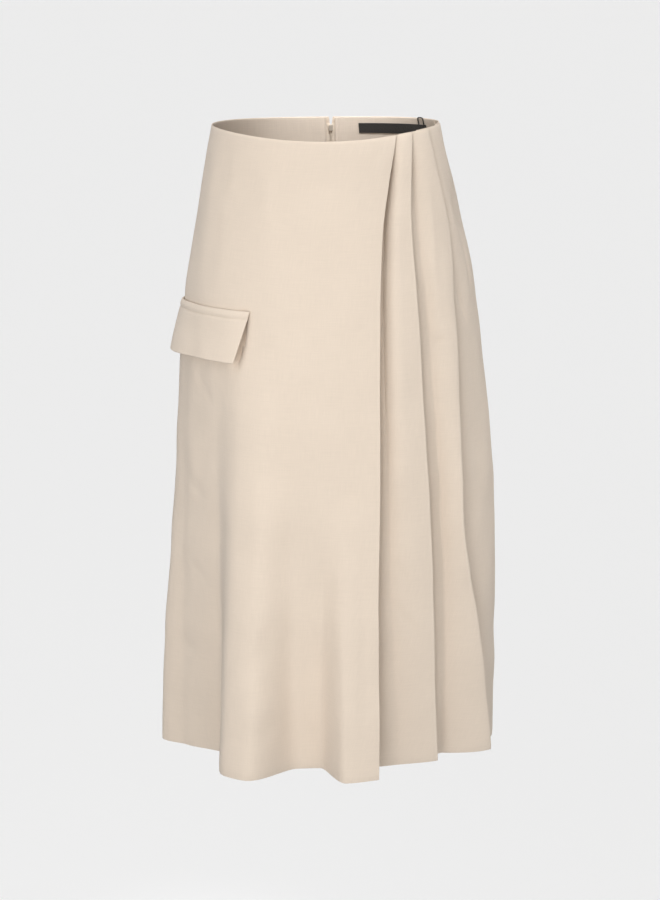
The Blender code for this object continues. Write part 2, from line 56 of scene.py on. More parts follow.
SECTIONS = (  # height, flap side, pleat side, front, back
    (0.000, 0.1360, 0.1365, 0.100, 0.093),
    (-0.050, 0.1450, 0.1490, 0.109, 0.104),
    (-0.110, 0.1545, 0.1625, 0.119, 0.116),
    (-0.200, 0.1690, 0.1800, 0.130, 0.128),
    (-0.320, 0.1800, 0.1940, 0.138, 0.135),
    (-0.450, 0.1870, 0.2045, 0.142, 0.138),
    (-0.610, 0.1965, 0.2090, 0.145, 0.141),
    (HEM, 0.2040, 0.2115, 0.147, 0.143),
)
FRONT_FLUTES = (  # azimuth, lift at the hem in millimetres, height where it starts
    (183, 0, 0.0),
    (177, 0, 0.0),
    (164, -25, -0.16),
    (139, -43, -0.20),
    (123, 29, -0.20),
    (115, 34, -0.20),
    (101, -22, -0.42),
    (92, -27, -0.42),
    (84, 29, -0.42),
)
BACK_FLUTES = (
    (183, 0, 0.0),
    (190, 0, 0.0),
    (208, -14, -0.30),
    (229, 17, -0.26),
    (250, -12, -0.34),
    (BACK_CENTRE, 5, -0.34),
    (289, -14, -0.30),
    (311, 15, -0.28),
    (330, -9, -0.32),
    (341, 0, 0.0),
    (346, 0, 0.0),
)
FLUTE_EASE = 1.3  # over 1, a flute deepens faster toward the hem
PLEAT_HEIGHTS = (0.0, -0.05, -0.11, -0.20, -0.45, -0.62, HEM)
# For each pleat, at PLEAT_HEIGHTS: the folded edge's azimuth and its lift, the lift of what comes
# out beneath, and the width of the hidden underlay. Lifts and widths are in millimetres.
PLEATS = (
    ((53.2, 60.5, 66.5, 69.7, 72.7, 73.4, 74.0), (0, 0, 0, 1, 7, 13, 21),
     (-3.4, -15, -19, -19, -18, -21, -25), (28, 28, 28, 28, 28, 28, 28)),
    ((42.5, 48.2, 52.2, 53.8, 51.8, 49.2, 46.5), (0, 0, 0, 0, -6, -11, -17),
     (-3.4, -12, -12, -14, -21, -27, -36), (14, 16, 18, 20, 24, 25, 26)),
    ((28.5, 28.2, 26.8, 32.0, 36.2, 27.0, 19.0), (0, 0, 0, 0, 1, 2, 4),
     (-3.4, -3.4, -3.4, -9, -15, -15, -16), (15, 18, 20, 20, 20, 22, 24)),
    ((6.0, 11.5, 22.0, 23.0, 20.0, 5.0, -4.0), (0, -1.4, -1.6, 0, 0, 0, 0),
     (-3.4, -3.4, -3.4, -4, -5, -5, -5), (12, 10, 6, 6, 6, 6, 6)),
)
# How each panel comes up from beneath the fold before it: over 1, steeply at once; 1, as a flat
# slope; under 1, it stays deep beside the fold and rises late.
RISES = (
    (1.6, 1.6, 1.6, 1.6, 1.6, 1.6, 1.6),
    (1.6, 7.0, 8.0, 8.0, 4.0, 1.8, 1.25),
    (1.6, 2.6, 2.6, 2.0, 1.7, 1.5, 1.2),
    (1.6, 1.6, 1.6, 1.1, 0.9, 0.95, 1.0),
    (1.6, 1.6, 1.6, 1.6, 1.6, 1.6, 1.6),
)
VALLEYS = (  # millimetres beside the fold before it, over which each panel stays deep
    (0, 0, 0, 0, 0, 0, 0),
    (0, 8, 11, 12, 18, 29, 37),
    (0, 10, 16, 22, 30, 31, 26),
    (0, 0, 0, 10, 18, 14, 6),
    (0, 0, 0, 0, 0, 0, 0),
)
VALLEY_LIMIT = 0.6  # share of a panel that may stay deep
OPENS_OUT = (-0.075, -0.150)  # the last pleat opens between these heights
OPENED_SHARE, OPENED_END = 0.25, 3.0  # share of the way to the seam, and azimuth, where it ends
TURN = 0.85 * MM  # radius of a folded edge, which goes down by twice this
ROOM_SHARE = 0.5  # of the room between a fold's layers, taken above the underlay


def blend(start, end, share):
    return start + (end - start) * share


def soft_step(share):
    share = np.clip(share, 0.0, 1.0)
    return share * share * (3 - 2 * share)


def panel_rise(number, height, share):
    """How far a panel has come up, as a share, at this share of the way to its end."""
    power = float(through(PLEAT_HEIGHTS, RISES[number], height))
    share = np.clip(share, 0.0, 1.0)
    return 1 - (1 - share) ** power if power > 1 else share ** (1 / power)


def through(places, values, at):
    """A smooth curve through the values, with no overshoot, read at any number of places."""
    x, y = np.array(places, float), np.array(values, float)
    if x[0] > x[-1]:
        x, y = x[::-1], y[::-1]
    at = np.clip(np.asarray(at, float), x[0], x[-1])
    i = np.clip(np.searchsorted(x, at, side="right") - 1, 0, len(x) - 2)
    step = np.diff(x)
    rise = np.diff(y) / step
    slope = np.zeros_like(y)
    slope[0], slope[-1] = rise[0], rise[-1]
    same_way = rise[:-1] * rise[1:] > 0
    total = np.where(same_way, rise[:-1] + rise[1:], 1.0)
    slope[1:-1] = np.where(same_way, 2 * rise[:-1] * rise[1:] / total, 0.0)
    s = (at - x[i]) / step[i]
    start_part = (y[i] * (1 + 2 * s) + slope[i] * step[i] * s) * (1 - s) ** 2
    end_part = (y[i + 1] * (3 - 2 * s) - slope[i + 1] * step[i] * (1 - s)) * s**2
    return start_part + end_part


def quarter(azimuth, height):
    """The half axes that this azimuth and height lie on, and the azimuth's cosine and sine."""
    heights = [row[0] for row in SECTIONS]
    flap, pleat, front, back = (
        through(heights, [row[column] for row in SECTIONS], height) for column in (1, 2, 3, 4)
    )
    c, s = np.cos(np.radians(azimuth)), np.sin(np.radians(azimuth))
    return np.where(c > 0, pleat, flap), np.where(s > 0, front, back), c, s


def on_tube(azimuth, height, lift):
    """Points of the cloth. The waist's dip fades out toward the level hem."""
    across, deep, c, s = quarter(azimuth, height)
    dip = SIDE_TILT * c - np.where(s > 0, FRONT_DIP, BACK_DIP) * np.abs(s) ** DIP_POWER
    out_x, out_y = c / across, -s / deep
    length = np.hypot(out_x, out_y)
    x = across * c + out_x / length * lift
    y = -deep * s + out_y / length * lift
    z = height + dip * (1 - height / HEM) + 0 * x
    return np.stack(np.broadcast_arrays(x, y, z), -1)


def degrees_for(length, azimuth, height):
    """The turn round the tube that this length takes up."""
    across, deep, c, s = quarter(azimuth, height)
    return np.degrees(length / np.hypot(across * s, deep * c))


def fluted_lift(flutes, azimuth, height, extra=()):
    azimuths = [f[0] for f in flutes] + [e[0] for e in extra]
    lifts = []
    for _, lift, start in flutes:
        share = min(max((start - height) / (start - HEM), 0.0), 1.0)
        lifts.append(lift * MM * share**FLUTE_EASE)
    return through(azimuths, lifts + [e[1] for e in extra], azimuth)


def panel_lift(azimuth, height):
    """Lift of the outer cloth near the flap and on the back, one height at a time."""
    azimuth = np.asarray(azimuth, float)
    front = fluted_lift(FRONT_FLUTES, azimuth, height)
    return np.where(azimuth < SEAM_FLAP_SIDE, front, fluted_lift(BACK_FLUTES, azimuth, height))


def outer_run(number, height, start, edge, azimuth):
    """Lift of a panel between where it comes out and its folded edge."""
    if number == 0:
        return fluted_lift(FRONT_FLUTES, azimuth, height, (edge,))
    width = float(through(PLEAT_HEIGHTS, VALLEYS[number], height)) * MM
    floor = degrees_for(width, start[0], height)
    floor = min(float(floor), VALLEY_LIMIT * (start[0] - edge[0]))
    share = (start[0] - floor - azimuth) / (start[0] - floor - edge[0])
    return blend(start[1], edge[1], panel_rise(number, height, share))


def half_turn(azimuth, lift, way, height, steps):
    """The round of a folded edge, from its upper layer to the one below it."""
    angle = np.linspace(0, math.pi, steps + 1)
    reach = degrees_for(TURN, azimuth, height)
    return azimuth + way * reach * np.sin(angle), lift - TURN * (1 - np.cos(angle))


def between(start, end, steps):
    """Places strictly between two ends of a flat layer."""
    share = np.arange(1, steps) / steps
    return blend(start[0], end[0], share), blend(start[1], end[1], share)


def front_row(height, main, panel, turn, layer):
    """Azimuths, lifts and the weight of the painted edge highlight, for each column of the front.
    """
    azimuths, lifts, highlight_weights = [], [], []

    def add(places, edge_highlight=0.0):
        azimuths.append(places[0])
        lifts.append(places[1])
        highlight_weights.append(np.zeros(len(places[0])) + edge_highlight)

    start = SEAM_FLAP_SIDE, 0.0
    for number, (edge_azimuths, edge_lifts, beneath_lifts, underlays) in enumerate(PLEATS):
        edge_azimuth = through(PLEAT_HEIGHTS, edge_azimuths, height) + wander(number, height)
        edge = float(edge_azimuth), float(through(PLEAT_HEIGHTS, edge_lifts, height)) * MM
        beneath = float(through(PLEAT_HEIGHTS, beneath_lifts, height)) * MM
        beneath = min(beneath, edge[1] - 4 * TURN)
        underlay = float(through(PLEAT_HEIGHTS, underlays, height)) * MM
        back = edge[0] + float(degrees_for(underlay, edge[0], height))
        room = ROOM_SHARE * (edge[1] - beneath - 4 * TURN)
        lowest = min(float(outer_run(number, height, start, edge, back)), edge[1])
        inner = back, lowest - 2 * TURN - room
        steps = main if number == 0 else panel
        first = len(azimuths)
        share = close_at_ends(steps) if number == 0 else np.arange(steps + 1) / steps
        run = blend(start[0], edge[0], share[:-1])
        add((run, outer_run(number, height, start, edge, run)))
        # the folded edges' half turns get the full painted highlight
        add(half_turn(*edge, -1, height, turn), 1.0)
        add(between((edge[0], edge[1] - 2 * TURN), inner, layer))
        add(half_turn(*inner, 1, height, turn), 1.0)
        add(between((back, inner[1] - 2 * TURN), (edge[0], beneath), layer))
        out = edge[0], beneath
        if number == len(PLEATS) - 1:
            share = float(soft_step((OPENS_OUT[0] - height) / (OPENS_OUT[0] - OPENS_OUT[1])))
            flat_end = min(blend(out[0], SEAM_PLEAT_SIDE, OPENED_SHARE), OPENED_END)
            count = sum(len(a) for a in azimuths[first:])
            along = np.arange(count) / count
            done = 0
            for k in range(first, len(azimuths)):
                piece = along[done : done + len(azimuths[k])]
                done += len(piece)
                opened = blend(start[0], flat_end, piece)
                risen = outer_run(number, height, start, (flat_end, 0.0), opened)
                azimuths[k] = blend(azimuths[k], opened, share)
                lifts[k] = blend(lifts[k], risen, share)
                # the painted highlight fades where the last pleat opens out
                highlight_weights[k] = highlight_weights[k] * (1 - share)
            out = blend(out[0], flat_end, share), blend(out[1], 0.0, share)
        start = out
    share = np.arange(panel + 1) / panel
    run = blend(start[0], SEAM_PLEAT_SIDE, share)
    add((run, blend(start[1], 0.0, panel_rise(len(PLEATS), height, share))))
    return np.concatenate(azimuths), np.concatenate(lifts), np.concatenate(highlight_weights)


# ---- unevenness of the hanging cloth ----

MM_PER_DEGREE = 2.9  # along the tube, about the same all the way down
CREASES = (  # (azimuth, height) from end to end, then depth and half width in millimetres
    # beside the second and third folds, where the panels are pressed and pulled
    (((36.5, -0.075), (41.0, -0.155), (42.5, -0.233)), 1.4, 6.0),
    (((44.4, -0.254), (41.5, -0.247), (39.3, -0.243)), -2.2, 3.0),
    (((45.8, -0.119), (47.2, -0.165), (48.3, -0.208)), -0.7, 1.7),
    (((40.1, -0.204), (36.5, -0.235), (33.1, -0.262)), -0.9, 4.5),
    (((25.3, -0.186), (22.8, -0.210), (19.2, -0.236)), -1.6, 4.0),
    (((14.0, -0.130), (12.5, -0.170), (12.0, -0.215)), -1.1, 4.5),
    (((66.4, -0.505), (59.5, -0.539)), -0.9, 4.5),
    (((68.0, -0.543), (60.9, -0.565)), 0.8, 4.5),
    (((64.0, -0.569), (55.4, -0.610)), -0.9, 5.0),
    (((30.0, -0.520), (34.0, -0.580)), -0.8, 6.0),
    # the pull below the lap's top
    (((63.4, -0.010), (68.3, -0.036)), -0.7, 4.0),
    (((75.0, -0.030), (92.0, -0.052), (108.0, -0.058)), -0.5, 9.0),
    # slanting creases in the hem's flute
    (((108.6, -0.581), (111.4, -0.612), (115.9, -0.650)), -2.4, 4.5),
    (((107.7, -0.690), (111.0, -0.728)), -2.2, 4.0),
    (((104.0, -0.560), (103.6, -0.640), (103.8, -0.735)), -1.3, 6.0),
    (((78.4, -0.470), (78.0, -0.600), (78.2, -0.750)), -1.6, 6.5),
    (((118.0, -0.560), (119.0, -0.660)), 0.8, 5.0),
    # dimples and drags under the flap and down the side
    (((146.7, -0.307), (140.3, -0.321)), -1.5, 6.5),
    (((154.6, -0.291), (147.6, -0.301)), -1.2, 6.0),
    (((138.0, -0.300), (133.0, -0.340)), -0.8, 6.0),
    (((164.5, -0.418), (147.1, -0.446)), -1.3, 9.0),
    (((159.7, -0.529), (142.4, -0.559)), -1.2, 10.0),
    (((167.0, -0.636), (148.3, -0.646)), -1.0, 9.0),
    (((172.0, -0.120), (160.0, -0.160)), -0.9, 8.0),
    # the back, which hangs as unevenly
    (((300.0, -0.200), (310.0, -0.250), (316.0, -0.310)), -1.5, 6.0),
    (((243.0, -0.180), (234.0, -0.225), (229.0, -0.280)), -1.3, 6.0),
    (((262.0, -0.290), (256.0, -0.380), (252.0, -0.450)), -1.6, 7.0),
    (((286.0, -0.540), (291.0, -0.600), (296.0, -0.665)), -2.2, 5.0),
    (((222.0, -0.590), (217.0, -0.640), (209.0, -0.690)), -1.9, 6.0),
    (((330.0, -0.480), (322.0, -0.560)), -1.5, 7.0),
    (((247.0, -0.650), (245.0, -0.745)), -1.7, 5.0),
    (((206.0, -0.330), (196.0, -0.370)), -1.2, 7.0),
    (((338.0, -0.240), (328.0, -0.290)), -1.1, 7.0),
    (((2.0, -0.400), (-8.0, -0.455)), -1.4, 8.0),
)
FLAP_GAP = (  # the flap's front end draws the cloth in beside it
    (((124.3, -0.206), (125.4, -0.240), (127.6, -0.272)), -17.0, 3.8),
    (((121.0, -0.215), (121.8, -0.245), (124.0, -0.272)), 1.4, 3.0),
)
CREASE_REACH = 3.2  # half widths from its line, beyond which a crease isn't felt
CREASE_END, CREASE_FADE = 0.02, 0.7
DRAPE_SEED, DRAPE_START = 11, -0.18
DRAPE_WAVES = (  # turns round, turns down, depth in millimetres
    (2, 0.7, 0.9),
    (3, 1.3, 0.7),
    (5, 0.8, 0.7),
    (7, 1.9, 0.4),
    (11, 1.4, 0.35),
    (16, 2.3, 0.2),
)
RIPPLE_SEED, RIPPLE_COUNT, RIPPLE_STEEPNESS = 29, 18, 0.0019
RIPPLE_LENGTHS, RIPPLE_LEAN = (34, 115), 32  # millimetres, and degrees from upright
RIPPLE_TOP, RIPPLE_FADE = 0.004, -0.06
PUCKER_STEP, PUCKER_REACH, PUCKER_DEPTH = 19.0, 10.0, 0.32 * MM  # step and reach in millimetres
PUCKER_TOP, PUCKER_FOOT, PUCKER_FADE, PUCKER_SHIFT = 0.02, 0.215, 0.03, 0.9


def line_lift(line, depth, width, x, y):
    """One crease, faded out at its ends. Its depth and width are in millimetres."""
    points = [(a * MM_PER_DEGREE, h / MM) for a, h in line]
    reach = width * CREASE_REACH
    for ends, places in zip(zip(*points), (x, y)):
        if np.min(places) > max(ends) + reach or np.max(places) < min(ends) - reach:
            return 0.0
    lengths = [math.dist(p, q) for p, q in zip(points, points[1:])]
    nearest = np.full(np.broadcast(x, y).shape, 1e9)
    along = np.zeros(nearest.shape)
    done = 0.0
    for (ax, ay), (bx, by), length in zip(points, points[1:], lengths):
        share = np.clip(((x - ax) * (bx - ax) + (y - ay) * (by - ay)) / length**2, 0, 1)
        far = np.hypot(x - blend(ax, bx, share), y - blend(ay, by, share))
        along = np.where(far < nearest, (done + share * length) / sum(lengths), along)
        nearest = np.minimum(far, nearest)
        done += length
    fade = np.sin(np.clip(along, CREASE_END, 1 - CREASE_END) * math.pi) ** CREASE_FADE
    return depth * MM * np.exp(-((nearest / width) ** 2)) * fade


def crease_lift(azimuth, height, creases=CREASES):
    """Soft ridges and hollows along short lines."""
    x, y = azimuth * MM_PER_DEGREE, height / MM
    return sum((line_lift(*crease, x, y) for crease in creases), 0.0 * (x + y))


def drape_lift(azimuth, height):
    """Slow swells that a hanging cloth has, none at the waist."""
    phases = np.random.default_rng(DRAPE_SEED).uniform(0, 2 * math.pi, (len(DRAPE_WAVES), 2))
    total = 0.0
    for (round_turns, down_turns, depth), (p, q) in zip(DRAPE_WAVES, phases):
        down = 2 * math.pi * down_turns * height / HEM + q
        total = total + depth * MM * np.sin(np.radians(azimuth) * round_turns + p + np.sin(down))
    return total * soft_step(height / DRAPE_START)


def ripple_waves():
    """Small waves of the cloth, mostly upright: two wave numbers, a phase and a depth for each."""
    source = np.random.default_rng(RIPPLE_SEED)
    waves = []
    for _ in range(RIPPLE_COUNT):
        length = source.uniform(*RIPPLE_LENGTHS)
        lean = math.radians(source.normal(0, RIPPLE_LEAN))
        turn = 2 * math.pi / length
        phase = source.uniform(0, 2 * math.pi)
        depth = length * RIPPLE_STEEPNESS
        waves.append((turn * math.cos(lean), turn * math.sin(lean), phase, depth))
    return np.array(waves)


RIPPLES = ripple_waves()


def ripple_lift(azimuth, height):
    x, y = (np.asarray(v)[..., None] for v in (azimuth * MM_PER_DEGREE, height / MM))
    across, down, phase, depth = RIPPLES.T
    total = (depth * MM * np.sin(x * across + y * down + phase)).sum(-1)
    return total * soft_step((height - RIPPLE_TOP) / RIPPLE_FADE)


def zip_pucker(azimuth, height):
    """The zip's seam draws the back up a little on both sides."""
    away = (azimuth - BACK_CENTRE) * MM_PER_DEGREE
    from_top = np.clip((-height - PUCKER_TOP) / PUCKER_FADE, 0, 1)
    down = from_top * np.clip((PUCKER_FOOT + height) / PUCKER_FADE, 0, 1)
    shift = np.where(away > 0, PUCKER_SHIFT, 0.0)
    wave = np.sin(2 * math.pi * height / MM / PUCKER_STEP + shift)
    return PUCKER_DEPTH * wave * down * np.exp(-((away / PUCKER_REACH) ** 2))


def settled(azimuth, height, lift):
    """Points of the cloth with its unevenness, the same for every layer at one place."""
    uneven = drape_lift(azimuth, height) + crease_lift(azimuth, height)
    uneven = uneven + ripple_lift(azimuth, height)
    return on_tube(azimuth, height, lift + uneven + zip_pucker(azimuth, height))


SEAM_ROLL, SEAM_REACH = 0.8 * MM, 1.7 * MM  # how far a seam's edge turns in, and over what width
HEM_ROLL, HEM_REACH = 0.35 * MM, 2.2 * MM
SEAM_FADE = -0.01
WANDER_REACH, WANDER_TURNS, WANDER_SHIFT, WANDER_START = 0.22, 3.1, 0.37, -0.1


def seam_roll(azimuth, height, *seams):
    """Each piece turns in a little where it is sewn, and at its hem."""
    total = -HEM_ROLL * math.exp(-(height - HEM) / HEM_REACH)
    for seam in seams:
        away = np.abs(azimuth - seam) / degrees_for(1.0, seam, height)
        total = total - SEAM_ROLL * np.exp(-away / SEAM_REACH)
    return total * soft_step(height / SEAM_FADE)


def close_at_ends(count, closeness=0.85):
    """Shares from 0 to 1 with this many steps, closer together at both ends."""
    share = np.arange(count + 1) / count
    return share - closeness * np.sin(2 * math.pi * share) / (2 * math.pi)


def wander(number, height):
    """A pressed edge strays a little from its line, in degrees."""
    wave = math.sin(2 * math.pi * (height * WANDER_TURNS + number * WANDER_SHIFT))
    return WANDER_REACH * wave * float(soft_step(height / WANDER_START))


# ---- making pieces ----


def deselect():
    for other in bpy.context.selected_objects:
        other.select_set(False)


def named(name):
    made = bpy.context.object
    made.name = made.data.name = name
    return made


def apply_all(made):
    deselect()
    bpy.context.view_layer.objects.active = made
    made.select_set(True)
    for modifier in list(made.modifiers):
        bpy.ops.object.modifier_apply(modifier=modifier.name)
    made.select_set(False)


def cloth_uv(points, middle):
    """Places on the cut cloth in metres: along each row from a middle column, and down it."""
    steps = np.linalg.norm(np.diff(points, axis=1), axis=2)
    along = np.concatenate([np.zeros((len(points), 1)), np.cumsum(steps, axis=1)], axis=1)
    along -= along[:, middle : middle + 1]
    down = np.linalg.norm(np.diff(points[:, middle], axis=0), axis=1)
    drop = np.concatenate([[0.0], np.cumsum(down)])
    return np.stack([along, np.broadcast_to(-drop[:, None], along.shape)], -1)


def cloth_sheet(name, points, thickness, material, edge_highlight=None, middle=None, edge_round=0.25):
    """A sheet through rows of points on its middle, given its thickness and rounded rims."""
    rows, columns = points.shape[:2]
    deselect()
    bpy.ops.mesh.primitive_grid_add(x_subdivisions=columns - 1, y_subdivisions=rows - 1, size=1)
    made = named(name)
    mesh = made.data
    mesh.vertices.foreach_set("co", points.reshape(-1).astype(np.float32))
    uv = cloth_uv(points, columns // 2 if middle is None else middle).reshape(-1, 2)
    corners = np.zeros(len(mesh.loops), np.int32)
    mesh.loops.foreach_get("vertex_index", corners)
    mesh.uv_layers.active.data.foreach_set("uv", uv[corners].reshape(-1).astype(np.float32))
    # a weight per point for the painted highlight, which lightens the cloth's colour along its
    # edges
    highlight_weights = mesh.attributes.new("edge_highlight", "FLOAT", "POINT")
    if edge_highlight is not None:
        highlight_weights.data.foreach_set("value", edge_highlight.reshape(-1).astype(np.float32))
    wall = made.modifiers.new("wall", "SOLIDIFY")
    wall.thickness = thickness
    wall.offset = 0
    wall.use_even_offset = True
    wall.use_quality_normals = True
    rim = made.modifiers.new("rim", "BEVEL")
    rim.limit_method = "ANGLE"
    rim.angle_limit = math.radians(60)
    rim.width = edge_round * thickness
    rim.segments = 2
    mesh.materials.append(material)
    apply_all(made)
    made.data.shade_smooth()
    return made


# ---- materials ----


def new_group(name, inputs, outputs):
    group = bpy.data.node_groups.new(name, "ShaderNodeTree")
    for socket, kind, value in inputs:
        made = group.interface.new_socket(socket, in_out="INPUT", socket_type=kind)
        if value is not None:
            made.default_value = value
    for socket, kind in outputs:
        group.interface.new_socket(socket, in_out="OUTPUT", socket_type=kind)
    return group, group.nodes.new("NodeGroupInput"), group.nodes.new("NodeGroupOutput")


def node(tree, kind, values=(), **settings):
    made = tree.nodes.new(kind)
    for key, value in settings.items():
        setattr(made, key, value)
    for key, value in dict(values).items():
        made.inputs[key].default_value = value
    return made


def maths(tree, operation, first, second=None, third=None):
    made = tree.nodes.new("ShaderNodeMath")
    made.operation = operation
    for socket, value in zip(made.inputs, (first, second, third)):
        if isinstance(value, (int, float)):
            socket.default_value = value
        elif value is not None:
            tree.links.new(value, socket)
    return made.outputs[0]


THREAD_DEPTH, SLUB_DEPTH = 0.35, 4.0  # against the ribs' depth of 1
SLUB_STRETCHES = ((900, 45, 1), (38, 800, 1))  # lengthways yarns, then crossways ones
CLOUD_SCALE = 16.0


def weave_group():
    """Twill ribs, the threads across them and thick places in the yarn, as one height."""
    group, gave, gives = new_group(
        "twill_weave",
        [
            ("UV", "NodeSocketVector", None),
            ("Rib", "NodeSocketFloat", 0.9 * MM),
            ("Slub", "NodeSocketFloat", 0.5),
        ],
        [("Height", "NodeSocketFloat"), ("Slub", "NodeSocketFloat")],
    )
    links = group.links
    split = group.nodes.new("ShaderNodeSeparateXYZ")
    links.new(gave.outputs["UV"], split.inputs[0])
    across, down = split.outputs[0], split.outputs[1]
    turns = maths(group, "DIVIDE", maths(group, "ADD", across, down), gave.outputs["Rib"])
    ribs = maths(group, "SINE", maths(group, "MULTIPLY", turns, 2 * math.pi))
    cross = maths(group, "DIVIDE", maths(group, "SUBTRACT", across, down), gave.outputs["Rib"])
    threads = maths(group, "SINE", maths(group, "MULTIPLY", cross, 4 * math.pi))
    weave = maths(group, "ADD", ribs, maths(group, "MULTIPLY", threads, THREAD_DEPTH))
    slubs = []
    for stretch in SLUB_STRETCHES:
        scaled = node(group, "ShaderNodeVectorMath", operation="MULTIPLY")
        scaled.inputs[1].default_value = stretch
        links.new(gave.outputs["UV"], scaled.inputs[0])
        noise = node(group, "ShaderNodeTexNoise", {"Scale": 1.0, "Detail": 2.0, "Roughness": 0.55})
        links.new(scaled.outputs[0], noise.inputs["Vector"])
        slubs.append(maths(group, "SUBTRACT", noise.outputs["Fac"], 0.5))
    slub = maths(group, "ADD", slubs[0], slubs[1])
    uneven = maths(group, "MULTIPLY", slub, gave.outputs["Slub"])
    height = maths(group, "ADD", weave, maths(group, "MULTIPLY", uneven, SLUB_DEPTH))
    links.new(height, gives.inputs["Height"])
    links.new(slub, gives.inputs["Slub"])
    return group


def tone_and_highlight_group():
    """The dye's unevenness, broad clouds and the yarn's own streaks, and a painted highlight that
    lightens the colour along folded edges, the waist's edge and the hem.
    """
    group, gave, gives = new_group(
        "cloth_tone_and_edge_highlight",
        [
            ("Color", "NodeSocketColor", None),
            ("Place", "NodeSocketVector", None),
            ("Slub", "NodeSocketFloat", 0.0),
            ("Highlight", "NodeSocketFloat", 0.0),
            ("Clouds", "NodeSocketFloat", 0.05),
            ("Streaks", "NodeSocketFloat", 0.1),
            ("Highlight Strength", "NodeSocketFloat", 0.06),
        ],
        [("Color", "NodeSocketColor")],
    )
    links = group.links
    look = {"Scale": CLOUD_SCALE, "Detail": 3.0, "Roughness": 0.5}
    clouds = node(group, "ShaderNodeTexNoise", look)
    links.new(gave.outputs["Place"], clouds.inputs["Vector"])
    cloud = maths(group, "SUBTRACT", clouds.outputs["Fac"], 0.5)
    cloudy = maths(group, "MULTIPLY", cloud, gave.outputs["Clouds"])
    streaky = maths(group, "MULTIPLY", gave.outputs["Slub"], gave.outputs["Streaks"])
    # painted highlight: the colour is made lighter where the edge weight is set
    edge = maths(group, "MULTIPLY", gave.outputs["Highlight"], gave.outputs["Highlight Strength"])
    uneven = maths(group, "ADD", cloudy, streaky)
    total = maths(group, "ADD", uneven, maths(group, "ADD", edge, 1.0))
    scaled = node(group, "ShaderNodeVectorMath", operation="SCALE")
    links.new(gave.outputs["Color"], scaled.inputs[0])
    links.new(total, scaled.inputs["Scale"])
    links.new(scaled.outputs[0], gives.inputs["Color"])
    return group


WEAVE, TONE_AND_HIGHLIGHT = weave_group(), tone_and_highlight_group()


def cloth_material(name, colour, rib=0.9 * MM, depth=0.05 * MM, slub=0.5, clouds=0.05, streaks=0.1,
                   roughness=0.9, sheen=0.2):
    made = bpy.data.materials.new(name)
    made.use_nodes = True
    tree = made.node_tree
    shader = tree.nodes["Principled BSDF"]
    shader.inputs["Roughness"].default_value = roughness
    shader.inputs["Specular IOR Level"].default_value = 0.25
    shader.inputs["Sheen Weight"].default_value = sheen
    shader.inputs["Sheen Roughness"].default_value = 0.6
    place = tree.nodes.new("ShaderNodeTexCoord")
    # reads the weight of the painted edge highlight
    highlight_weights = node(tree, "ShaderNodeAttribute", attribute_name="edge_highlight")
    weave = node(tree, "ShaderNodeGroup", node_tree=WEAVE)
    weave.inputs["Rib"].default_value = rib
    weave.inputs["Slub"].default_value = slub
    tree.links.new(place.outputs["UV"], weave.inputs["UV"])
    # cloth colour, with the painted edge highlight added
    tone_and_highlight = node(tree, "ShaderNodeGroup", node_tree=TONE_AND_HIGHLIGHT)
    tone_and_highlight.inputs["Color"].default_value = (*colour, 1)
    tone_and_highlight.inputs["Clouds"].default_value = clouds
    tone_and_highlight.inputs["Streaks"].default_value = streaks
    tree.links.new(place.outputs["Object"], tone_and_highlight.inputs["Place"])
    tree.links.new(weave.outputs["Slub"], tone_and_highlight.inputs["Slub"])
    tree.links.new(highlight_weights.outputs["Fac"], tone_and_highlight.inputs["Highlight"])
    tree.links.new(tone_and_highlight.outputs["Color"], shader.inputs["Base Color"])
    bump = node(tree, "ShaderNodeBump", {"Strength": 1.0, "Distance": depth})
    tree.links.new(weave.outputs["Height"], bump.inputs["Height"])
    tree.links.new(bump.outputs["Normal"], shader.inputs["Normal"])
    return made


def metal_material(name, colour, roughness):
    made = bpy.data.materials.new(name)
    made.use_nodes = True
    tree = made.node_tree
    shader = tree.nodes["Principled BSDF"]
    shader.inputs["Base Color"].default_value = (*colour, 1)
    shader.inputs["Metallic"].default_value = 0.25
    shader.inputs["Roughness"].default_value = roughness
    shader.inputs["Coat Weight"].default_value = 0.3
    place = tree.nodes.new("ShaderNodeTexCoord")
    grain = node(tree, "ShaderNodeTexNoise", {"Scale": 900.0, "Detail": 2.0})
    tree.links.new(place.outputs["Object"], grain.inputs["Vector"])
    bump = node(tree, "ShaderNodeBump", {"Strength": 0.3, "Distance": 0.02 * MM})
    tree.links.new(grain.outputs["Fac"], bump.inputs["Height"])
    tree.links.new(bump.outputs["Normal"], shader.inputs["Normal"])
    return made


twill = cloth_material("ecru_twill", (0.74, 0.63, 0.52), slub=0.4, streaks=0.08)
wrong_side = cloth_material("twill_wrong_side", (0.74, 0.64, 0.54), streaks=0.12)
tape_weave = cloth_material(
    "zip_tape_weave", (0.76, 0.66, 0.55), rib=0.7 * MM, depth=0.04 * MM, slub=0.1
)
label_satin = cloth_material(
    "black_label_satin", (0.022, 0.019, 0.017), rib=0.35 * MM, depth=0.03 * MM, slub=0.1,
    roughness=0.6,
)
black_cord = cloth_material(
    "black_cord", (0.018, 0.016, 0.015), rib=0.5 * MM, depth=0.05 * MM, slub=0.1
)
thread = cloth_material("ecru_thread", (0.76, 0.64, 0.50), rib=0.3 * MM, depth=0.04 * MM, slub=0.1)
coil_nylon = metal_material("zip_coil_nylon", (0.80, 0.70, 0.58), 0.45)
ivory_paint = metal_material("ivory_painted_metal", (0.54, 0.48, 0.41), 0.4)


# ---- the cut pieces ----


def near_rim(height):
    """1 at the waist's edge and the hem, and almost 0 away from them, as the weight of the painted
    highlight there.
    """
    return math.exp(-min(-height, height - HEM) / RIM_REACH)


